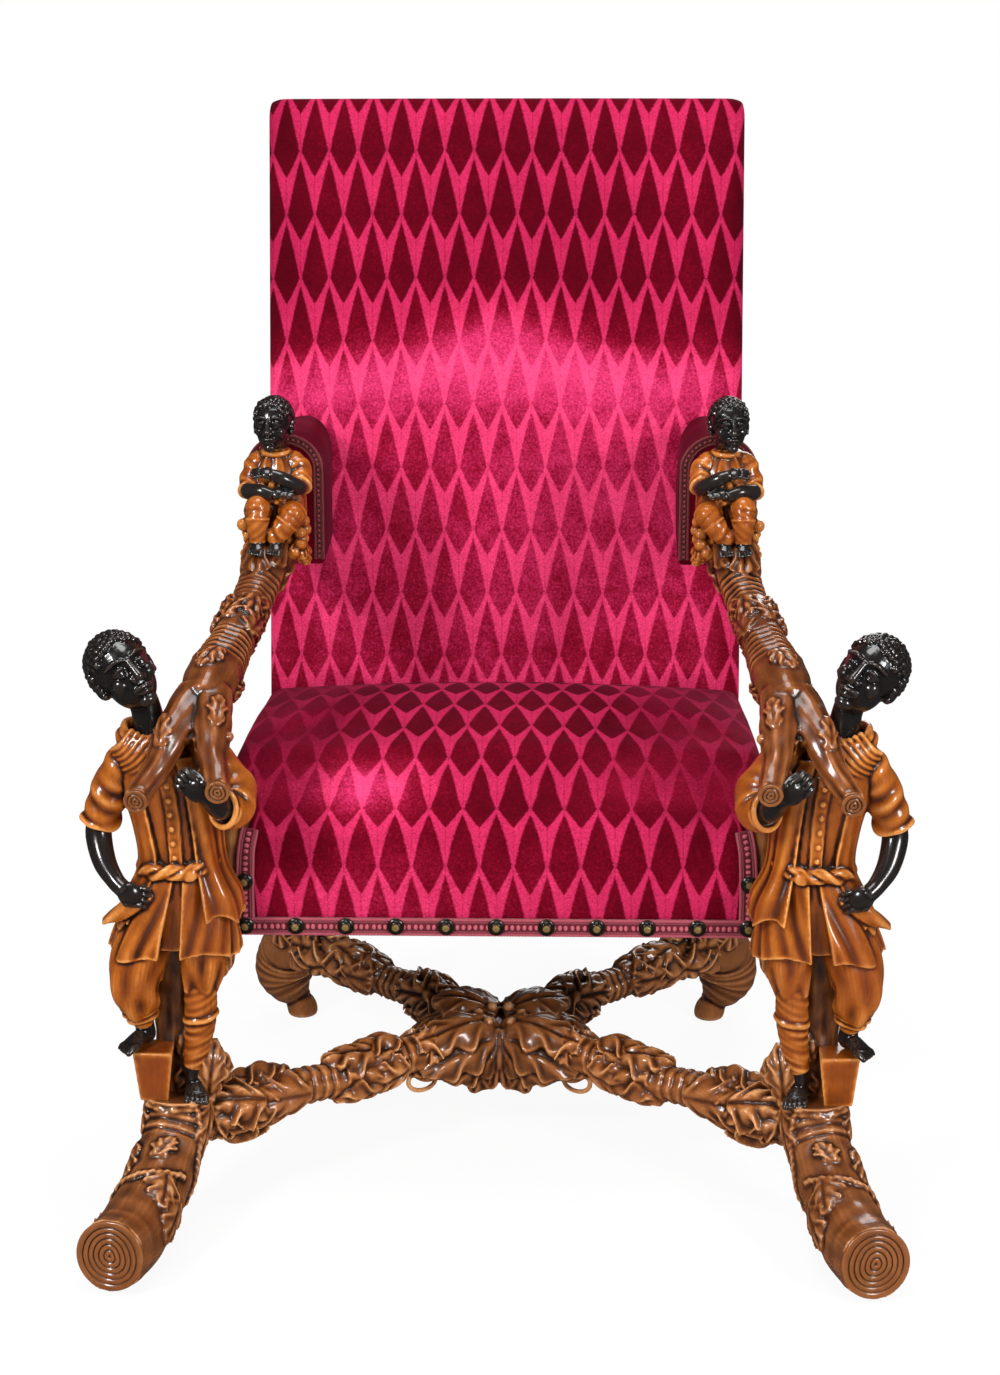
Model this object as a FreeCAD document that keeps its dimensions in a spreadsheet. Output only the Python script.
import FreeCAD, Part
import Sketcher
import math
import os

from FreeCAD import Placement, Rotation, Vector

# Carved armchair: a tall upholstered back and a stuffed seat on a frame of logs and branches.
# Millimetres, +Z up, the sitter faces -Y, +X is the right hand side seen from the front.
# The origin is on the floor, under the middle of the overall width and depth.
# The left half is modelled, and the right half mirrors it in the plane X = 0.

SIZES = {
    # seat frame: four rails between two front posts and two raked back posts
    "rail_bottom": 312,
    "rail_height": 62,
    "rail_thickness": 28,
    "seat_width": 600,
    "seat_depth": 458,
    "seat_front_y": -202.3,
    "post_size": 44,
    "post_top": 452,
    "tenon_length": 20,
    "tenon_thickness": 10,
    "tenon_height": 40,
    "joint_gap": 0.1,
    "corner_block_leg": 60,
    "corner_block_height": 40,
    # back frame, raked about the foot of the back posts
    "back_rake": 9,
    "back_width": 610,
    "back_bottom": 472,
    "back_length": 767,
    "back_post_width": 44,
    "back_post_depth": 34,
    "back_rail_height": 58,
    "back_crown": 9,
    "back_pad_depth": 24,
    "back_corner_radius": 18,
    "back_top_margin": 20,
    # coverings
    "cover_thickness": 2,
    "cover_lap": 15,
    "web_width": 50,
    "web_thickness": 1.5,
    "canvas_thickness": 1.5,
    "canvas_margin": 7,
    "seat_front_height": 114,
    "seat_crown_height": 194,
    "seat_rear_height": 186,
    "seat_back_gap": 14,
    "seat_edge_radius": 34,
    "gimp_width": 22,
    "gimp_thickness": 2.5,
    "nail_radius": 8,
    "nail_height": 5.5,
    "front_nail_count": 11,
    # front legs: sawn logs that lie on the floor and turn up into stumps
    "stump_out": 48,
    "stump_forward": 36,
    "stump_height": 137,
    "stump_radius": 38,
    "log_radius": 38,
    "log_reach": 190,
    "log_splay": 43,
    # rear legs: scrolled branches
    "rear_leg_radius": 25,
    "rear_scroll_radius": 38,
    "rear_foot_radius": 18,
    "rear_foot_inset": 23,
    "rear_foot_set_back": 85,
    # stretcher: four branches that meet in a leafy boss
    "stretcher_height": 100,
    "branch_radius": 22,
    "boss_radius": 84,
    "boss_height": 98,
    "branch_tenon_radius": 10,
    "branch_tenon_length": 18,
    # arms and the pads behind the seated children
    "arm_height": 706,
    "arm_inset": 43,
    "arm_radius": 24,
    "arm_core_size": 30,
    "prong_radius": 13,
    "pad_width": 90,
    "pad_height": 154,
    "pad_length": 236,
    "pad_drop": 26,
    # figures
    "figure_height": 523,
    "step_height": 58,
    "step_width": 36,
    "step_depth": 44,
    "child_height": 150,
}

# The figure and child are drawn at these heights and scaled to the ones in the sheet.
FIGURE_DRAWN = 523.0
CHILD_DRAWN = 150.0

DOC = FreeCAD.newDocument("carved_armchair")
SHEET = DOC.addObject("Spreadsheet::Sheet", "sizes")


def fill_sheet():
    """Writes each driving size to its own cell, with its name as the alias."""
    for row, (alias, value) in enumerate(SIZES.items(), 1):
        SHEET.set(f"A{row}", alias)
        SHEET.set(f"B{row}", str(value))
        SHEET.setAlias(f"B{row}", alias)
    DOC.recompute()


fill_sheet()
v = {alias: float(SHEET.get(alias)) for alias in SIZES}
NODES = []


def bound(expression):
    """An expression in the sheet's names, as the document reads it."""
    words = sorted(SIZES, key=len, reverse=True)
    out = ""
    i = 0
    while i < len(expression):
        name = next((w for w in words if expression.startswith(w, i) and not (
            i and (expression[i - 1].isalnum() or expression[i - 1] == "_"))), None)
        out += f"sizes.{name}" if name else expression[i]
        i += len(name) if name else 1
    return out


def bind(obj, **properties):
    """Ties properties such as Length or Placement__Base__x to the sheet."""
    for key, expression in properties.items():
        obj.setExpression(key.replace("__", "."), bound(expression))
    return obj


def node(obj, label):
    """Marks an object as a finished sub-part."""
    obj.Label = label
    NODES.append(obj)
    return obj


# Primitives bound to the sheet

def block(name, x, y, z):
    """A box between pairs of expressions, square to the axes."""
    box = DOC.addObject("Part::Box", name)
    return bind(box, Length=f"({x[1]}) - ({x[0]})", Width=f"({y[1]}) - ({y[0]})",
                Height=f"({z[1]}) - ({z[0]})",
                Placement__Base__x=x[0], Placement__Base__y=y[0], Placement__Base__z=z[0])


FOOT_OF_BACK = "seat_front_y + seat_depth"


def raked_block(name, x, y, z):
    """A box in the raked frame of the back: y runs rearward from the posts' front faces, z up the posts."""
    box = DOC.addObject("Part::Box", name)
    box.Placement = Placement(Vector(), Rotation(Vector(1, 0, 0), -v["back_rake"]))
    rake = "back_rake * 1 deg"
    return bind(
        box, Length=f"({x[1]}) - ({x[0]})", Width=f"({y[1]}) - ({y[0]})", Height=f"({z[1]}) - ({z[0]})",
        Placement__Rotation__Angle="-back_rake * 1 deg",
        Placement__Base__x=x[0],
        Placement__Base__y=f"{FOOT_OF_BACK} + cos({rake}) * ({y[0]}) + sin({rake}) * ({z[0]})",
        Placement__Base__z=f"rail_bottom - sin({rake}) * ({y[0]}) + cos({rake}) * ({z[0]})")


def cut(name, base, tools):
    """Base with each tool taken out of it."""
    for i, tool in enumerate(tools):
        result = DOC.addObject("Part::Cut", f"{name}_{i}")
        result.Base = base
        result.Tool = tool
        base = result
    return base


def fuse(name, shapes):
    result = DOC.addObject("Part::MultiFuse", name)
    result.Shapes = shapes
    return result


def group(name, shapes):
    result = DOC.addObject("Part::Compound", name)
    result.Links = shapes
    return result


def mirrored(source, label):
    """The right hand twin of a left hand sub-part."""
    twin = DOC.addObject("Part::Mirroring", label)
    twin.Source = source
    twin.Base = Vector(0, 0, 0)
    twin.Normal = Vector(1, 0, 0)
    return node(twin, label)


def pair(obj, label):
    """A left hand sub-part and its right hand twin."""
    node(obj, f"{label}_left")
    return obj, mirrored(obj, f"{label}_right")


def profile_body(name, role, points, length, offset):
    """A body padded from a polygon on an origin plane. Each corner is bound to the sheet."""
    body = DOC.addObject("PartDesign::Body", name)
    plane = next(f for f in body.Origin.OriginFeatures if f.Role == role)
    sketch = body.newObject("Sketcher::SketchObject", f"{name}_profile")
    sketch.AttachmentSupport = [(plane, "")]
    sketch.MapMode = "FlatFace"
    bind(sketch, AttachmentOffset__Base__z=offset)
    count = len(points)
    rough = [Vector(math.cos(2 * math.pi * i / count), math.sin(2 * math.pi * i / count), 0) * 100
             for i in range(count)]
    for i in range(count):
        sketch.addGeometry(Part.LineSegment(rough[i], rough[(i + 1) % count]), False)
    for i in range(count):
        sketch.addConstraint(Sketcher.Constraint("Coincident", i, 2, (i + 1) % count, 1))
    for i, (across, up) in enumerate(points):
        for kind, expression, value in (("DistanceX", across, rough[i].x), ("DistanceY", up, rough[i].y)):
            index = sketch.addConstraint(Sketcher.Constraint(kind, -1, 1, i, 1, value))
            sketch.setExpression(f"Constraints[{index}]", bound(expression))
    pad = body.newObject("PartDesign::Pad", f"{name}_pad")
    pad.Profile = sketch
    bind(pad, Length=length)
    DOC.recompute()
    return body


# Shapes of carved wood, as lofts through round sections

def section(centre, normal, across, along=None, reference=Vector(0, 0, 1)):
    """A circle, or an ellipse whose first radius lies across the reference direction."""
    normal = Vector(normal).normalize()
    if abs(normal.dot(reference)) > 0.95:
        reference = Vector(0, 1, 0)
    x_axis = reference.cross(normal).normalize()
    turn = Rotation(x_axis, normal.cross(x_axis), normal, "ZXY")
    along = across if along is None else along
    if abs(across - along) < 1e-6:
        edge = Part.Circle(Vector(), Vector(0, 0, 1), across).toShape()
    elif across > along:
        edge = Part.Ellipse(Vector(), across, along).toShape()
    else:
        edge = Part.Ellipse(Vector(0, along, 0), Vector(across, 0, 0), Vector()).toShape()
    wire = Part.Wire(edge)
    wire.Placement = Placement(centre, turn)
    return wire


def limb(stations, start=None, end=None):
    """A round limb through (point, radius) stations. start and end set the normals of its end faces."""
    points = [p for p, _ in stations]
    wires = []
    for i, (p, r) in enumerate(stations):
        normal = points[min(i + 1, len(points) - 1)] - points[max(i - 1, 0)]
        if i == 0 and start:
            normal = Vector(*start)
        if i == len(points) - 1 and end:
            normal = Vector(*end)
        wires.append(section(p, normal, r))
    return Part.makeLoft(wires, True, False)


def trunk(stations):
    """A body through level ellipses: (point, half width, half depth)."""
    up = Vector(0, 0, 1)
    return Part.makeLoft([section(p, up, rx, ry, Vector(0, 1, 0)) for p, rx, ry in stations], True, False)


def fused(shapes):
    """One solid from overlapping shapes."""
    whole = shapes[0]
    for shape in shapes[1:]:
        whole = whole.fuse(shape)
    return whole


def solid(label, shape):
    """A sub-part whose shape is set directly, for carved and stuffed forms."""
    obj = DOC.addObject("Part::Feature", label)
    obj.Shape = shape
    return obj


def half_space(z):
    """Everything below a level, as a large slab."""
    reach = 2000
    return Part.makeBox(reach, reach, reach, Vector(-reach / 2, -reach / 2, z - reach))


# Places that several pieces share

RAKE = math.radians(v["back_rake"])
FOOT_Y = v["seat_front_y"] + v["seat_depth"]


def raked_point(x, y, z):
    """A point of the raked frame, in the chair's frame."""
    return Vector(x, FOOT_Y + math.cos(RAKE) * y + math.sin(RAKE) * z,
                  v["rail_bottom"] - math.sin(RAKE) * y + math.cos(RAKE) * z)


RAKED = Placement(raked_point(0, 0, 0), Rotation(Vector(1, 0, 0), -v["back_rake"]))
BACK_LOW = (v["back_bottom"] - v["rail_bottom"]) / math.cos(RAKE)
BACK_HIGH = BACK_LOW + v["back_length"]
STUMP_X = -v["seat_width"] / 2 - v["stump_out"]
STUMP = Vector(STUMP_X, v["seat_front_y"] - v["stump_forward"], v["stump_height"])
ARM_X = v["back_width"] / 2 - v["arm_inset"]
ARM_MIDDLE = "(back_width / 2 - arm_inset)"
SCALE = v["figure_height"] / FIGURE_DRAWN
CHILD_SCALE = v["child_height"] / CHILD_DRAWN


def fig(dx, dy, dz):
    """A point of the left figure: inward, rearward and up from the middle of its stump's top."""
    return STUMP + Vector(dx, dy, dz) * SCALE


PAD_FRONT_Y = raked_point(0, -v["back_pad_depth"], (v["arm_height"] - v["rail_bottom"]) / math.cos(RAKE)).y \
    - v["pad_length"]


# Seat frame

def seat_frame():
    inner = "(seat_width / 2 - rail_thickness)"
    post_in = inner
    post_out = f"({inner} + post_size)"
    front = "seat_front_y"
    behind_post = "(seat_front_y + post_size)"
    rail_top = "(rail_bottom + rail_height)"
    tenon_z = ("(rail_bottom + (rail_height - tenon_height) / 2)",
               "(rail_bottom + (rail_height + tenon_height) / 2)")
    mortise_z = (f"{tenon_z[0]} - joint_gap", f"{tenon_z[1]} + joint_gap")
    mid_rail = f"({inner} + rail_thickness / 2)"
    front_mid = "(seat_front_y + rail_thickness / 2)"

    # front rail with a tenon at each end
    rail = block("front_rail_bar", (f"-{inner}", inner), (front, f"{front} + rail_thickness"),
                 ("rail_bottom", rail_top))
    tongue = block("front_rail_tongue", (f"-{inner} - tenon_length", f"{inner} + tenon_length"),
                   (f"{front_mid} - tenon_thickness / 2", f"{front_mid} + tenon_thickness / 2"), tenon_z)
    node(fuse("seat_front_rail", [rail, tongue]), "seat_front_rail")

    # side rails run back to the raked posts, with a tenon at each end
    far_low = f"{FOOT_OF_BACK}"
    far_high = f"({FOOT_OF_BACK} + rail_height * tan(back_rake * 1 deg))"
    side = profile_body("side_rail_bar", "YZ_Plane",
                        [(behind_post, "rail_bottom"), (far_low, "rail_bottom"), (far_high, rail_top),
                         (behind_post, rail_top)],
                        "rail_thickness", "-seat_width / 2")
    side_tongue = block("side_rail_tongue",
                        (f"-{mid_rail} - tenon_thickness / 2", f"-{mid_rail} + tenon_thickness / 2"),
                        (f"{behind_post} - tenon_length", f"{FOOT_OF_BACK} + tenon_length"), tenon_z)
    pair(fuse("seat_side_rail_left", [side, side_tongue]), "seat_side_rail")

    # rear rail lies in the plane of the back posts
    post_inside = "(back_width / 2 - cover_thickness - back_post_width)"
    rear_tenon = ("(rail_height - tenon_height) / 2", "(rail_height + tenon_height) / 2")
    rear = raked_block("rear_rail_bar", (f"-{post_inside}", post_inside), ("0", "rail_thickness"),
                       ("0", "rail_height"))
    rear_y = ("(rail_thickness - tenon_thickness) / 2", "(rail_thickness + tenon_thickness) / 2")
    rear_tongue = raked_block("rear_rail_tongue",
                              (f"-{post_inside} - tenon_length", f"{post_inside} + tenon_length"),
                              rear_y, rear_tenon)
    node(fuse("seat_rear_rail", [rear, rear_tongue]), "seat_rear_rail")

    # front post: a square block at the rails on a trunk that leans out to the stump
    head = block("front_post_head", (f"-{post_out}", f"-{post_in}"), (front, behind_post),
                 ("rail_bottom", "post_top"))
    front_mortise = block("front_mortise",
                          (f"-{post_in} - tenon_length - joint_gap", f"-{post_in} + joint_gap"),
                          (f"{front_mid} - tenon_thickness / 2 - joint_gap",
                           f"{front_mid} + tenon_thickness / 2 + joint_gap"), mortise_z)
    side_mortise = block("side_front_mortise",
                         (f"-{mid_rail} - tenon_thickness / 2 - joint_gap",
                          f"-{mid_rail} + tenon_thickness / 2 + joint_gap"),
                         (f"{behind_post} - tenon_length - joint_gap", f"{behind_post} + joint_gap"),
                         mortise_z)
    lower = solid("front_post_trunk", front_post_trunk())
    post = cut("front_post_cut", fuse("front_post_whole", [head, lower]), [front_mortise, side_mortise])
    pair(post, "front_post")

    # glued corner blocks, flush with the tops of the rails
    blocks = []
    for name, x, y, sx, sy in (
            ("front_left", f"-{inner}", f"({front} + rail_thickness)", "+", "+"),
            ("front_right", inner, f"({front} + rail_thickness)", "-", "+")):
        blocks.append(profile_body(
            f"corner_{name}", "XY_Plane",
            [(x, y), (f"{x} {sx} corner_block_leg", y), (x, f"{y} {sy} corner_block_leg")],
            "corner_block_height", f"{rail_top} - corner_block_height"))
    node(group("seat_corner_blocks", blocks), "seat_corner_blocks")


def front_post_trunk():
    """The round lower trunk of a front post: up behind the figure's legs, then in to the square head."""
    head_x = -(v["seat_width"] / 2 - v["rail_thickness"] + v["post_size"] / 2)
    head_y = v["seat_front_y"] + v["post_size"] / 2
    radius = v["post_size"] / 2
    low = STUMP + Vector(v["stump_radius"] * 0.16, v["stump_radius"] * 0.62, 0)
    lean = Vector(head_x - low.x, head_y - low.y, 0)
    rise = Vector(0, 0, v["rail_bottom"] - low.z)
    # share of the height, share of the lean, share of the head's radius
    shares = ((0, 0, 0.62), (0.32, 0.06, 0.64), (0.6, 0.24, 0.7), (0.84, 0.62, 0.78), (1.16, 1, 0.82))
    stations = [(low + rise * up + lean * over, radius * size) for up, over, size in shares]
    return limb(stations, (0, 0, 1), (0, 0, 1))


# Back frame and its coverings, in the raked frame

def back_frame():
    outside = "(back_width / 2 - cover_thickness)"
    inside = f"({outside} - back_post_width)"
    rake = "cos(back_rake * 1 deg)"
    low = f"((back_bottom - rail_bottom) / {rake})"
    top = f"({low} + back_length - back_top_margin)"
    mid_rail = "(seat_width / 2 - rail_thickness / 2)"
    tenon_y = ("(back_post_depth - tenon_thickness) / 2", "(back_post_depth + tenon_thickness) / 2")
    gap_y = (f"{tenon_y[0]} - joint_gap", f"{tenon_y[1]} + joint_gap")
    top_tenon = (f"{top} - (back_rail_height + tenon_height) / 2",
                 f"{top} - (back_rail_height - tenon_height) / 2")
    rail_low = f"({low} + cover_thickness)"
    low_tenon = (f"{rail_low} + (back_rail_height - tenon_height) / 2",
                 f"{rail_low} + (back_rail_height + tenon_height) / 2")
    reach = (f"-{inside} - tenon_length", f"{inside} + tenon_length")
    mortise_x = (f"-{inside} - tenon_length - joint_gap", f"-{inside} + joint_gap")

    def open_z(span):
        return f"{span[0]} - joint_gap", f"{span[1]} + joint_gap"

    bars = (("back_top_rail", (f"{top} - back_rail_height", top), top_tenon),
            ("back_bottom_rail", (rail_low, f"{rail_low} + back_rail_height"), low_tenon))
    for name, span, tenon in bars:
        bar = raked_block(f"{name}_bar", (f"-{inside}", inside), ("0", "back_post_depth"), span)
        tongue = raked_block(f"{name}_tongue", reach, tenon_y, tenon)
        node(fuse(name, [bar, tongue]), name)

    post = raked_block("back_post_bar", (f"-{outside}", f"-{inside}"), ("0", "back_post_depth"), ("0", top))
    seat_y = ("(rail_thickness - tenon_thickness) / 2 - joint_gap",
              "(rail_thickness + tenon_thickness) / 2 + joint_gap")
    seat_z = ("(rail_height - tenon_height) / 2 - joint_gap", "(rail_height + tenon_height) / 2 + joint_gap")
    mortises = [
        raked_block("top_rail_mortise", mortise_x, gap_y, open_z(top_tenon)),
        raked_block("bottom_rail_mortise", mortise_x, gap_y, open_z(low_tenon)),
        raked_block("rear_rail_mortise", mortise_x, seat_y, seat_z),
        block("side_rear_mortise",
              (f"-{mid_rail} - tenon_thickness / 2 - joint_gap",
               f"-{mid_rail} + tenon_thickness / 2 + joint_gap"),
              (f"{FOOT_OF_BACK} - back_post_depth", f"{FOOT_OF_BACK} + tenon_length + joint_gap"),
              ("rail_bottom + (rail_height - tenon_height) / 2 - joint_gap",
               "rail_bottom + (rail_height + tenon_height) / 2 + joint_gap")),
        arm_core("arm_mortise", "joint_gap"),
    ]
    pair(cut("back_post_cut", post, mortises), "back_post")


def arm_core(name, gap):
    """The square rear end of an arm, from the seated child to a tenon in the back post."""
    half = f"(arm_core_size / 2 + {gap})"
    ahead = f"({FOOT_OF_BACK} + (arm_height - rail_bottom) * tan(back_rake * 1 deg))"
    return block(name, (f"-{ARM_MIDDLE} - {half}", f"-{ARM_MIDDLE} + {half}"),
                 (f"{ahead} - back_pad_depth - pad_length", f"{ahead} + tenon_length + {gap}"),
                 (f"arm_height - {half}", f"arm_height + {half}"))


def back_section(z, inset, front, rear, shrink, crown):
    """One level section of the back's upholstery: flat behind, rounded corners and a crowned front."""
    half = v["back_width"] / 2 - inset - shrink
    corner = v["back_corner_radius"]
    edge = -front
    a, b = Vector(-half, rear, z), Vector(half, rear, z)
    c, d = Vector(half, edge + corner, z), Vector(half - corner, edge, z)
    e, f = Vector(-half + corner, edge, z), Vector(-half, edge + corner, z)
    bow = corner * (1 - math.sqrt(0.5))
    right = Part.Arc(c, Vector(half - bow, edge + bow, z), d)
    left = Part.Arc(e, Vector(-half + bow, edge + bow, z), f)
    edges = [Part.LineSegment(a, b), Part.LineSegment(b, c), right,
             Part.Arc(d, Vector(0, edge - crown, z), e), left, Part.LineSegment(f, a)]
    return Part.Wire([x.toShape() for x in edges])


def back_form(inset, rear):
    """The back's upholstered form, inset from the velvet's outside, with its rear face at a given depth."""
    low, high = BACK_LOW + inset, BACK_HIGH - inset
    deep = v["back_pad_depth"] + v["cover_thickness"] - inset
    turn = v["back_corner_radius"]
    tall = high - low
    # share of the turn or of the height, then how far the section draws in, falls back and crowns
    ends = ((0, 5, 12, 0.15), (0.28, 1.6, 5, 0.3), (0.9, 0, 0, 0.5))
    middle = ((0.16, 0, 0, 0.8), (0.5, 0, 0, 1), (0.84, 0, 0, 0.8))
    levels = [(low + turn * u, a, b, c) for u, a, b, c in ends]
    levels += [(low + tall * u, a, b, c) for u, a, b, c in middle]
    levels += [(high - turn * u, a, b, c) for u, a, b, c in reversed(ends)]
    wires = [back_section(z, inset, deep - fall, rear, shrink, v["back_crown"] * crown)
             for z, shrink, fall, crown in levels]
    return Part.makeLoft(wires, True, True)


def strips(names, spans):
    """A group of flat straps in the raked frame."""
    return [raked_block(name, *span) for name, span in zip(names, spans)]


def arm_slots():
    """Room for the two arms where they pass through the back's coverings."""
    left = arm_core("arm_slot_left", "joint_gap")
    right = DOC.addObject("Part::Mirroring", "arm_slot_right")
    right.Source = left
    right.Normal = Vector(1, 0, 0)
    return [left, right]


def back_coverings():
    outside = "(back_width / 2 - cover_thickness)"
    low = "((back_bottom - rail_bottom) / cos(back_rake * 1 deg) + cover_thickness)"
    top = "((back_bottom - rail_bottom) / cos(back_rake * 1 deg) + back_length - back_top_margin)"
    inner = f"({outside} - back_post_width / 2)"
    spans = []
    uprights, levels = 4, 6
    for i in range(uprights):
        middle = f"({inner} * {(2 * i + 1) / uprights - 1:.4f})"
        spans.append(((f"{middle} - web_width / 2", f"{middle} + web_width / 2"), ("-web_thickness", "0"),
                      (f"{low} + 6", f"{top} - 6")))
    for i in range(levels):
        middle = f"({low} + ({top} - {low}) * {(i + 0.5) / levels:.4f})"
        spans.append(((f"-{inner}", inner), ("-2 * web_thickness", "-web_thickness"),
                      (f"{middle} - web_width / 2", f"{middle} + web_width / 2")))
    names = [f"back_web_{i}" for i in range(len(spans))]
    slots = arm_slots()
    node(cut("back_webbing_cut", group("back_webbing_straps", strips(names, spans)), slots), "back_webbing")
    canvas = raked_block("back_canvas_sheet", (f"-{outside} + canvas_margin", f"{outside} - canvas_margin"),
                         ("-2 * web_thickness - canvas_thickness", "-2 * web_thickness"),
                         (f"{low} + canvas_margin", f"{top} - 2"))
    node(cut("back_canvas_cut", canvas, slots), "back_canvas")

    skin = v["cover_thickness"]
    rear = v["back_post_depth"] + skin
    canvas_front = -(2 * v["web_thickness"] + v["canvas_thickness"])
    reach = 2000
    ahead = Part.makeBox(reach, reach, reach, Vector(-reach / 2, canvas_front - reach, -reach / 2))
    stuffing = back_form(skin, rear).common(ahead)
    cover = back_form(0, rear).cut(back_form(skin, rear + skin))
    DOC.recompute()
    openings = [slot.Shape for slot in slots] + [DOC.getObject("back_post_bar").Shape]
    openings.append(openings[-1].mirror(Vector(), Vector(1, 0, 0)))
    for label, shape in (("back_stuffing", stuffing), ("back_cover", cover)):
        shape.Placement = RAKED
        for opening in openings:
            shape = shape.cut(opening)
        node(solid(label, shape), label)
    outer = raked_block("back_outer_cover", (f"-{outside} + canvas_margin", f"{outside} - canvas_margin"),
                        ("back_post_depth", "back_post_depth + cover_thickness"),
                        (f"{low} + canvas_margin", top))
    node(outer, "back_outer_cover")


# Seat coverings

def seat_section(y, inset, top, crown, floor, draw):
    """One upright section of the seat: straight over the rails, a rounded edge, a crowned top."""
    half = v["seat_width"] / 2 + v["cover_thickness"] - inset
    radius = v["seat_edge_radius"]
    low = v["rail_bottom"] + floor
    edge = v["rail_bottom"] + top - inset
    side = edge - radius
    inner = half - radius - draw
    bow = radius * (1 - math.sqrt(0.5))

    def at(x, z):
        return Vector(x, y, z)

    right = Part.LineSegment(at(half, low), at(half, side))
    shoulder = Part.Arc(at(half, side), at(half - bow - draw * 0.5, edge - bow), at(inner, edge))
    roof = Part.Arc(at(inner, edge), at(0, edge + crown), at(-inner, edge))
    other = Part.Arc(at(-inner, edge), at(-half + bow + draw * 0.5, edge - bow), at(-half, side))
    left = Part.LineSegment(at(-half, side), at(-half, low))
    base = Part.LineSegment(at(-half, low), at(half, low))
    return Part.Wire([e.toShape() for e in (right, shoulder, roof, other, left, base)])


def seat_form(inset, floor):
    """The seat's upholstered form, inset from the velvet's outside, with its underside at a given height."""
    front = v["seat_front_y"] - v["cover_thickness"] + inset
    rear = FOOT_Y - v["seat_back_gap"] - inset
    long = rear - front
    low, peak, back = v["seat_front_height"], v["seat_crown_height"], v["seat_rear_height"]
    # share of the depth, height of the side edge, crown above it, how far the sides draw in
    shares = ((0, low, 2, 0), (0.02, low + 12, 4, 1), (0.055, low + 24, 6, 2), (0.11, low + 33, 8, 3),
              (0.25, peak - 24, 14, 6), (0.45, peak - 18, 18, 8), (0.65, peak - 18, 18, 8),
              (0.82, back - 12, 14, 6), (0.94, back - 10, 11, 3), (1, back - 16, 8, 0))
    wires = [seat_section(front + long * u, inset, top, crown, floor, draw) for u, top, crown, draw in shares]
    return Part.makeLoft(wires, True, True)


def corner_notches(gap):
    """Room for the two front posts, which the covering is cut round but laps over in front."""
    inner = v["seat_width"] / 2 - v["rail_thickness"] - gap
    lapped = inner + v["cover_lap"]
    deep = v["post_size"] + gap
    reach = 400
    below = v["rail_bottom"] - 10
    notches = []
    for x, start, long in ((inner, 0, deep), (lapped, -reach, reach + deep)):
        for left in (-x - reach, x):
            notches.append(Part.makeBox(reach, long, reach, Vector(left, v["seat_front_y"] + start, below)))
    return notches


def seat_coverings():
    skin = v["cover_thickness"]
    rail_top = "(rail_bottom + rail_height)"
    inner = "(seat_width / 2 - rail_thickness / 2)"
    ahead = "(seat_front_y + rail_thickness / 3)"
    behind = f"({FOOT_OF_BACK} - seat_back_gap - cover_thickness)"
    straps = []
    across, along = 5, 6
    for i in range(along):
        middle = f"((seat_width / 2 - post_size - web_width / 2) * {(2 * i + 1) / along - 1:.4f})"
        straps.append(block(f"seat_web_long_{i}", (f"{middle} - web_width / 2", f"{middle} + web_width / 2"),
                            (ahead, behind), (rail_top, f"{rail_top} + web_thickness")))
    for i in range(across):
        middle = f"(seat_front_y + post_size + web_width / 2 + (seat_depth - post_size - web_width " \
                 f"- seat_back_gap - 4) * {i / (across - 1):.4f})"
        straps.append(block(f"seat_web_cross_{i}", (f"-{inner}", inner),
                            (f"{middle} - web_width / 2 + 2", f"{middle} + web_width / 2 - 2"),
                            (f"{rail_top} + web_thickness", f"{rail_top} + 2 * web_thickness")))
    node(group("seat_webbing", straps), "seat_webbing")

    canvas_z = (f"{rail_top} + 2 * web_thickness", f"{rail_top} + 2 * web_thickness + canvas_thickness")
    sheet = block("seat_canvas_sheet", (f"-{inner}", inner), (ahead, behind), canvas_z)
    corner_x = "(seat_width / 2 - rail_thickness - 0.5)"
    corner_y = ("seat_front_y - 1", "seat_front_y + post_size + 0.5")
    corners = [block("canvas_corner_left", (f"-{inner} - 1", f"-{corner_x}"), corner_y,
                     (f"{rail_top} - 1", f"{rail_top} + 9")),
               block("canvas_corner_right", (corner_x, f"{inner} + 1"), corner_y,
                     (f"{rail_top} - 1", f"{rail_top} + 9"))]
    node(cut("seat_canvas_cut", sheet, corners), "seat_canvas")

    lining = block("seat_lining", (f"-{inner}", inner),
                   ("seat_front_y + post_size + 1", f"{FOOT_OF_BACK} - canvas_margin"),
                   ("rail_bottom - canvas_thickness", "rail_bottom"))
    node(lining, "seat_lining")

    notches = corner_notches(0.3)
    pad_floor = v["rail_height"] + 2 * v["web_thickness"] + v["canvas_thickness"]
    stuffing = seat_form(skin, pad_floor)
    cover = seat_form(0, 0).cut(seat_form(skin, -skin))
    for notch in notches:
        stuffing = stuffing.cut(notch)
        cover = cover.cut(notch)
    rear_wall = Part.makeBox(v["seat_width"], 4 * skin, v["rail_height"],
                             Vector(-v["seat_width"] / 2, FOOT_Y - v["seat_back_gap"] - 2 * skin,
                                    v["rail_bottom"]))
    cover = cover.cut(rear_wall)
    node(solid("seat_stuffing", stuffing), "seat_stuffing")
    node(solid("seat_cover", cover), "seat_cover")


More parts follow.
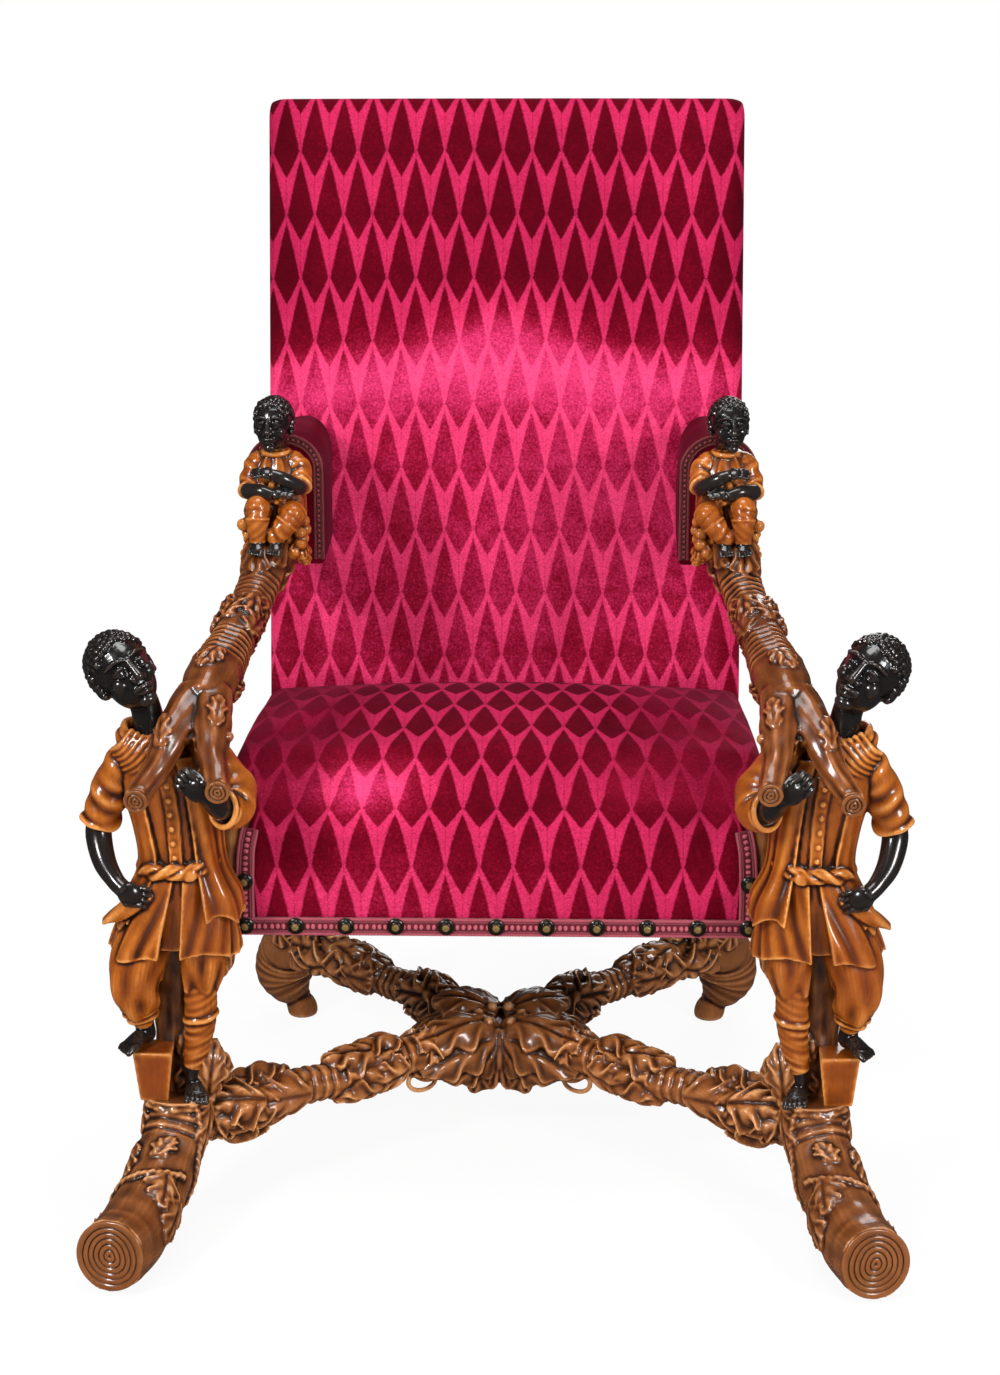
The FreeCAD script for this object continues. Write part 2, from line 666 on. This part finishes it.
def seat_trim():
    """Woven gimp over the raw edges of the velvet, and domed nails through it."""
    inner = "(seat_width / 2 - rail_thickness - 1 + cover_lap)"
    face = ("seat_front_y - cover_thickness - gimp_thickness", "seat_front_y - cover_thickness")
    low = ("rail_bottom", "rail_bottom + gimp_width")
    rise = ("rail_bottom + gimp_width", "rail_bottom + seat_front_height - seat_edge_radius - 12")
    pieces = [
        block("gimp_front", (f"-{inner}", inner), face, low),
        block("gimp_rise_left", (f"-{inner}", f"-{inner} + gimp_width"), face, rise),
        block("gimp_rise_right", (f"{inner} - gimp_width", inner), face, rise),
    ]
    node(group("seat_gimp", pieces), "seat_gimp")

    nail = nail_shape()
    span = v["seat_width"] / 2 - v["rail_thickness"] - 1 + v["cover_lap"] - v["gimp_width"] / 2
    front_y = v["seat_front_y"] - v["cover_thickness"] - v["gimp_thickness"]
    level = v["rail_bottom"] + v["gimp_width"] / 2
    count = int(v["front_nail_count"])
    spots = [(-span + 2 * span * i / (count - 1), level) for i in range(count)]
    spots += [(side * span, level + 2.3 * v["gimp_width"]) for side in (-1, 1)]
    heads = []
    for x, z in spots:
        head = nail.copy()
        head.Placement = Placement(Vector(x, front_y, z), Rotation(Vector(1, 0, 0), 90))
        heads.append(head)
    node(solid("seat_nails", Part.makeCompound(heads)), "seat_nails")


def nail_shape():
    """A domed nail head, from the cap of a sphere."""
    rim, rise = v["nail_radius"], v["nail_height"]
    ball = (rim * rim + rise * rise) / (2 * rise)
    cap = Part.makeSphere(ball, Vector(0, 0, rise - ball))
    return cap.common(Part.makeBox(4 * rim, 4 * rim, 2 * rise, Vector(-2 * rim, -2 * rim, 0)))


# Front and rear legs

def log_points():
    """The middle line of a front log, from its sawn end on the floor to just above the stump's top."""
    reach, splay, r = v["log_reach"], v["log_splay"], v["log_radius"]
    end = Vector(STUMP.x - splay, STUMP.y - reach, r + 4)
    return [(end, r), (Vector(STUMP.x - splay * 0.78, STUMP.y - reach * 0.77, r - 1), r + 2),
            (Vector(STUMP.x - splay * 0.45, STUMP.y - reach * 0.46, r + 14), r),
            (Vector(STUMP.x - splay * 0.18, STUMP.y - reach * 0.2, STUMP.z - 52), r - 1),
            (Vector(STUMP.x - splay * 0.03, STUMP.y - reach * 0.04, STUMP.z - 22), r - 1),
            (STUMP, v["stump_radius"]), (STUMP + Vector(0, 0, 8), v["stump_radius"])]


def legs():
    log = limb(log_points(), (v["log_splay"], v["log_reach"], 0), (0, 0, 1))
    log = log.cut(half_space(0)).common(half_space(STUMP.z))
    start, way = branch_ends("front")[0], branch_ends("front")[2]
    log = log.cut(tenon_rod(start, way * -1, v["joint_gap"]))
    log = log.cut(DOC.getObject("front_post_trunk").Shape)
    pair(solid("front_leg_left", log), "front_leg")

    top = rear_top()
    foot = Vector(v["rear_foot_inset"] - v["back_width"] / 2, top.y + v["rear_foot_set_back"], 0)
    scroll = v["rear_scroll_radius"]
    out = foot + Vector(-22, -2, scroll * 1.9)
    stations = [(foot, v["rear_foot_radius"]), (foot + Vector(-10, 0, 24), v["rear_foot_radius"] + 6),
                (foot + Vector(-22, -2, 46), scroll - 5), (out, scroll),
                (Vector(out.x + 24, (out.y + top.y) / 2, out.z + 42), scroll - 8),
                (Vector(top.x, top.y + 8, (out.z + top.z) / 2 + 32), v["rear_leg_radius"]),
                (top, v["back_post_depth"] / 2)]
    leg = limb(stations, (0, 0, 1), (0, math.sin(RAKE), math.cos(RAKE)))
    end, way = branch_ends("rear")[1], branch_ends("rear")[2]
    leg = leg.cut(tenon_rod(end, way, v["joint_gap"]))
    leg = leg.cut(branch_solid("rear", False))
    pair(solid("rear_leg_left", leg), "rear_leg")


def rear_top():
    """The middle of a back post's foot, where the rear leg meets it."""
    x = -(v["back_width"] / 2 - v["cover_thickness"] - v["back_post_width"] / 2)
    return raked_point(x, v["back_post_depth"] / 2, 0)


# Stretcher

def boss_centre():
    rear = rear_top().y + v["rear_foot_set_back"] * 0.4
    return Vector(0, (STUMP.y + rear) / 2 - 6, v["stretcher_height"])


def branch_ends(which):
    """A branch's start, end and direction, in plan, on the left hand side."""
    middle = boss_centre()
    if which == "front":
        start = Vector(STUMP.x, STUMP.y, v["stretcher_height"])
        way = (middle - start).normalize()
        return start + way * (v["stump_radius"] - 2), middle - way * (v["boss_radius"] - 12), way
    top = rear_top()
    end = Vector(top.x, top.y + v["rear_foot_set_back"] * 0.25, v["stretcher_height"] + 26)
    way = (end - middle).normalize()
    return middle + way * (v["boss_radius"] - 12), end - way * (v["rear_leg_radius"] - 2), way


def tenon_rod(point, way, gap=0.0):
    """A round tenon, from just behind a shoulder forward along its way."""
    back = 4
    return Part.makeCylinder(v["branch_tenon_radius"] + gap, v["branch_tenon_length"] + back + gap,
                             point - way * back, way)


def branch_solid(which, with_tenons=True):
    start, end, way = branch_ends(which)
    r = v["branch_radius"]
    rise = Vector(0, 0, 1)
    swell = ((0, 0, 0), (0.25, 7, 2.5), (0.5, 3, 0), (0.75, 6, 2.5), (1, 0, 1))
    stations = [(start * (1 - u) + end * u + rise * lift, r + more) for u, lift, more in swell]
    branch = limb(stations, tuple(way), tuple(way))
    if with_tenons:
        branch = fused([branch, tenon_rod(start, way * -1), tenon_rod(end, way)])
    return branch


def stretcher():
    middle = boss_centre()
    r, tall = v["boss_radius"], v["boss_height"]
    low = middle - Vector(0, 0, tall * 0.5)
    shares = ((0, 0.55), (0.16, 0.9), (0.42, 1), (0.66, 0.9), (0.86, 0.6), (1, 0.28))
    boss = trunk([(low + Vector(0, 0, tall * u), r * share, r * share * 0.82) for u, share in shares])
    flip = Vector(1, 0, 0)
    for which, place in (("front", 1), ("rear", 0)):
        branch = branch_solid(which)
        label = f"stretcher_{which}"
        pair(solid(f"{label}_left", branch), label)
        ends = branch_ends(which)
        way = ends[2] if which == "front" else ends[2] * -1
        hole = tenon_rod(ends[place], way, v["joint_gap"])
        plain = branch_solid(which, False)
        for tool in (hole, plain):
            boss = boss.cut(tool).cut(tool.mirror(Vector(), flip))
    node(solid("stretcher_boss", boss), "stretcher_boss")


# Arms

def fork_point():
    """Where the arm's branch divides, over the figure's inner shoulder."""
    return fig(38, 4, 446)


def arm_branch():
    """The round part of an arm: from the pad's front, under the child, down to a fork with two prongs."""
    back = Vector(-ARM_X, PAD_FRONT_Y, v["arm_height"])
    fork = fork_point()
    r = v["arm_radius"]
    reach = fork - back
    stations = [(back, r + 2), (back + Vector(-3, -30, 0), r + 2)]
    for u, lift, more in ((0.34, -2, 0), (0.5, -1, -1), (0.68, -2, 0), (0.86, 0, 1), (1, 0, 1)):
        stations.append((back + reach * u + Vector(0, 0, lift), r + more))
    main = limb(stations, (0, -1, 0))
    prongs = []
    for side, tip in ((-1, fig(-11, -85, 372)), (1, fig(62, -85, 376))):
        root = fork + Vector(side * r * 0.3, 6, 0)
        bend = fork * 0.62 + tip * 0.38 + Vector(side * 5, 0, 4)
        prongs.append(limb([(root, v["prong_radius"] + 3), (bend, v["prong_radius"] + 2),
                            (fork * 0.3 + tip * 0.7, v["prong_radius"]), (tip, v["prong_radius"])]))
    return fused([main] + prongs)


def arms():
    core = arm_core("arm_core_bar", "0")
    DOC.recompute()
    branch = arm_branch()
    arm = fused([branch, core.Shape])
    pair(solid("arm_left", arm), "arm")

    # padded block behind the child, over the arm's square core, scribed to the raked back
    half, tall = v["pad_width"] / 2, v["pad_height"]
    low = v["arm_height"] - v["pad_drop"]
    x = -ARM_X + 8
    rear = PAD_FRONT_Y + v["pad_length"] + 60

    def arch(y, inset, crown):
        bottom, side = low + inset, low + tall - half
        a, b = Vector(x - half + inset, y, bottom), Vector(x + half - inset, y, bottom)
        c, d = Vector(x + half - inset, y, side), Vector(x - half + inset, y, side)
        peak = Vector(x, y, low + tall - inset + crown)
        bow = half - inset
        near = Vector(x + bow * 0.72, y, side + (peak.z - side) * 0.7)
        away = Vector(x - bow * 0.72, y, side + (peak.z - side) * 0.7)
        edges = [Part.LineSegment(a, b), Part.LineSegment(b, c), Part.Arc(c, near, peak),
                 Part.Arc(peak, away, d), Part.LineSegment(d, a)]
        return Part.Wire([e.toShape() for e in edges])

    front = PAD_FRONT_Y
    long = v["pad_length"]
    pad = Part.makeLoft([arch(front, 6, 0), arch(front + 3, 2, 0), arch(front + 10, 0, 0),
                         arch(front + long * 0.5, 0, 3), arch(rear, 0, 0)], True, True)
    reach = 2000
    behind = Part.makeBox(reach, reach, reach)
    back_face = -v["back_pad_depth"] - v["cover_thickness"] - v["back_crown"] * 0.5 - 0.3
    plane = Placement(raked_point(0, back_face, 0), RAKED.Rotation)
    behind.Placement = plane.multiply(Placement(Vector(-reach / 2, 0, -reach / 2), Rotation()))
    pad = pad.cut(behind).cut(core.Shape).cut(branch)
    pair(solid("arm_pad_left", pad), "arm_pad")
    return arm


# Figures and children

def figure(arm):
    """The left figure: a clothed body in pale wood, with head, forearms and feet let in in dark wood."""
    post = DOC.getObject("front_post_cut_1").Shape
    cuff_in_way = (-0.62, -0.70, 0.32)
    ankle_out, ankle_in = fig(-38, 2, 92), fig(16, 0, 36)
    collar = fig(-19, 3, 428)

    torso = trunk([(fig(*c), rx * SCALE, ry * SCALE) for c, rx, ry in (
        ((2, 3, 183), 66, 37), ((5, 3, 215), 61, 36), ((8, 2, 245), 53, 34), ((12, 1, 281), 40, 30),
        ((8, 0, 325), 46, 33), ((0, 0, 368), 53, 35), ((-9, 2, 394), 43, 31), ((-16, 4, 412), 29, 27),
        ((-19, 3, 428), 22, 22))])
    parts = [torso]
    for stations, end in (
            ([((-44, 0, 384), 21), ((-60, -2, 352), 21), ((-69, -4, 316), 19)], (0, 0, -1)),
            ([((36, 0, 386), 20), ((60, -8, 362), 24), ((72, -22, 338), 25), ((62, -36, 328), 22)],
             cuff_in_way),
            ([((-28, 0, 196), 30), ((-37, -14, 160), 30), ((-40, -18, 135), 27), ((-38, -10, 112), 21),
              ((-38, 2, 92), 15)], (0, 0, -1)),
            ([((28, 2, 196), 28), ((32, -2, 150), 25), ((30, -2, 118), 21), ((28, 0, 100), 16),
              ((22, 0, 70), 15), ((16, 0, 36), 11)], (0, 0, -1))):
        parts.append(limb([(fig(*c), r * SCALE) for c, r in stations], None, end))
    body = fused(parts).cut(arm).cut(post)
    body = largest(body)
    pair(solid("figure_body_left", body), "figure_body")

    axis = fig(-62, -6, 516) - fig(-20, -10, 452)
    chin = fig(-20, -10, 452)
    skull = limb([(chin + axis * u, r * SCALE) for u, r in (
        (0, 14), (0.16, 27), (0.38, 36), (0.62, 39), (0.85, 32), (1, 15))])
    neck = limb([(collar, 17 * SCALE), (fig(-24, 2, 444), 16 * SCALE), (fig(-34, -2, 466), 17 * SCALE)],
                (0, 0, 1))
    pair(solid("figure_head_left", fused([neck, skull]).cut(arm)), "figure_head")

    low_arm = limb([(fig(*c), r * SCALE) for c, r in (
        ((-69, -4, 316), 12), ((-75, -8, 298), 12.5), ((-66, -24, 272), 10.5), ((-52, -38, 256), 8.5),
        ((-38, -44, 248), 9.5), ((-22, -46, 240), 5))], (0, 0, -1))
    pair(solid("figure_resting_arm_left", low_arm.cut(body)), "figure_resting_arm")
    high_arm = limb([(fig(*c), r * SCALE) for c, r in (
        ((62, -36, 328), 13), ((46, -56, 338), 12), ((32, -70, 350), 10.5), ((21, -78, 364), 15),
        ((16, -80, 380), 9))], cuff_in_way)
    pair(solid("figure_holding_arm_left", high_arm.cut(body).cut(arm)), "figure_holding_arm")

    step_top = v["step_height"]
    for label, ankle, r, floor, heel, ball, toe in (
            ("figure_standing_foot", ankle_in, 10.5, STUMP.z, (16, 6, 10), (12, -22, 9), (10, -38, 6)),
            ("figure_raised_foot", ankle_out, 11, STUMP.z + step_top, (-36, 6, 69), (-48, -16, 68),
             (-60, -28, 65))):
        shin = limb([(ankle, r * SCALE), (fig(*heel) + Vector(0, 0, 6) * SCALE, (r + 1) * SCALE),
                     (fig(*heel) - Vector(0, 0, 6) * SCALE, r * SCALE)], (0, 0, -1), (0, 0, -1))
        sole = limb([(fig(*heel) + Vector(0, 9, -1) * SCALE, 7 * SCALE), (fig(*heel), 11 * SCALE),
                     (fig(*ball), 11.5 * SCALE), (fig(*toe), 7 * SCALE)])
        foot = shin.fuse(sole).cut(half_space(floor)).cut(post)
        pair(solid(f"{label}_left", largest(foot.cut(body))), label)

    # tapered block that the raised foot stands on
    wide, deep = v["step_width"] / 2, v["step_depth"] / 2
    corners = []
    for z, grow in ((0, -4), (step_top, 2)):
        at = fig(-26, -4, 0) + Vector(0, 0, z)
        ring = [at + Vector(sx * (wide + grow), sy * (deep + grow), 0)
                for sx, sy in ((-1, -1), (1, -1), (1, 1), (-1, 1))]
        corners.append(Part.makePolygon(ring + ring[:1]))
    step = Part.makeLoft(corners, True, True)
    step = step.cut(post).cut(DOC.getObject("figure_standing_foot_left").Shape).cut(body)
    pair(solid("figure_step_left", step), "figure_step")


def largest(shape):
    """The biggest solid of a cut shape, without its shavings."""
    return max(shape.Solids, key=lambda s: s.Volume)


def child(arm):
    """The left child, seated on the arm against the pad."""
    pad = DOC.getObject("arm_pad_left").Shape
    seat = Vector(-ARM_X - 4, PAD_FRONT_Y - 30 * CHILD_SCALE, v["arm_height"] + v["arm_radius"] + 1)

    def at(dx, dy, dz):
        return seat + Vector(dx, dy, dz) * CHILD_SCALE

    k = CHILD_SCALE
    torso = trunk([(at(*c), rx * k, ry * k) for c, rx, ry in (
        ((0, 4, -8), 30, 25), ((0, 3, 12), 34, 27), ((0, 3, 40), 33, 26), ((0, 4, 64), 32, 23),
        ((0, 5, 80), 22, 18), ((0, 5, 90), 12, 12))])
    parts = [torso]
    hands = []
    feet = []
    for s in (-1, 1):
        cuff_way = (-0.2 * s, -0.75, -0.6)
        parts.append(limb([(at(s * 26, 3, 72), 14 * k), (at(s * 35, -3, 56), 14 * k),
                           (at(s * 37, -12, 45), 12 * k)], None, cuff_way))
        parts.append(limb([(at(s * 17, -3, 7), 15.5 * k), (at(s * 18, -28, 20), 15 * k),
                           (at(s * 18, -41, 20), 14 * k), (at(s * 16, -43, 5), 12 * k),
                           (at(s * 13, -42, -7), 9 * k)], None, (0, 0, -1)))
        hands.append(limb([(at(s * 37, -12, 45), 8 * k), (at(s * 32, -25, 40), 8 * k),
                           (at(s * 18, -34, 47), 7 * k), (at(s * 6, -36, 53), 5 * k)], cuff_way))
        feet.append(limb([(at(s * 13, -42, -7), 8 * k), (at(s * 13, -47, -16), 9 * k),
                          (at(s * 14, -58, -24), 6 * k)], (0, 0, -1)))
    body = largest(fused(parts).cut(arm).cut(pad))
    pair(solid("child_body_left", body), "child_body")
    head = limb([(at(0, 4, 90), 11 * k), (at(0, 0, 98), 19 * k), (at(0, -1, 112), 25 * k),
                 (at(0, 0, 128), 25.5 * k), (at(0, 2, 141), 20 * k), (at(0, 3, 150), 9 * k)],
                (0, 0, 1), (0, 0, 1))
    pair(solid("child_head_left", head), "child_head")
    pair(solid("child_hands_left", Part.makeCompound(hands)), "child_hands")
    trimmed = [largest(f.cut(body).cut(arm)) for f in feet]
    pair(solid("child_feet_left", Part.makeCompound(trimmed)), "child_feet")


def check_and_write():
    """Stops on a failed object or an invalid shape, then writes each sub-part to its own file."""
    DOC.recompute()
    for obj in DOC.Objects:
        if {"Invalid", "Error"} & set(obj.State):
            raise RuntimeError(f"{obj.Label} failed: {obj.State}")
    os.makedirs("parts", exist_ok=True)
    for obj in NODES:
        shape = obj.Shape
        if shape.isNull() or not shape.isValid() or not shape.Solids:
            raise RuntimeError(f"{obj.Label} has no valid solid")
        shape.exportStep(os.path.join("parts", f"{obj.Label}.step"))


seat_frame()
back_frame()
back_coverings()
seat_coverings()
seat_trim()
DOC.recompute()
legs()
stretcher()
ARM = arms()
figure(ARM)
child(ARM)
check_and_write()
print(len(NODES), "sub-parts")
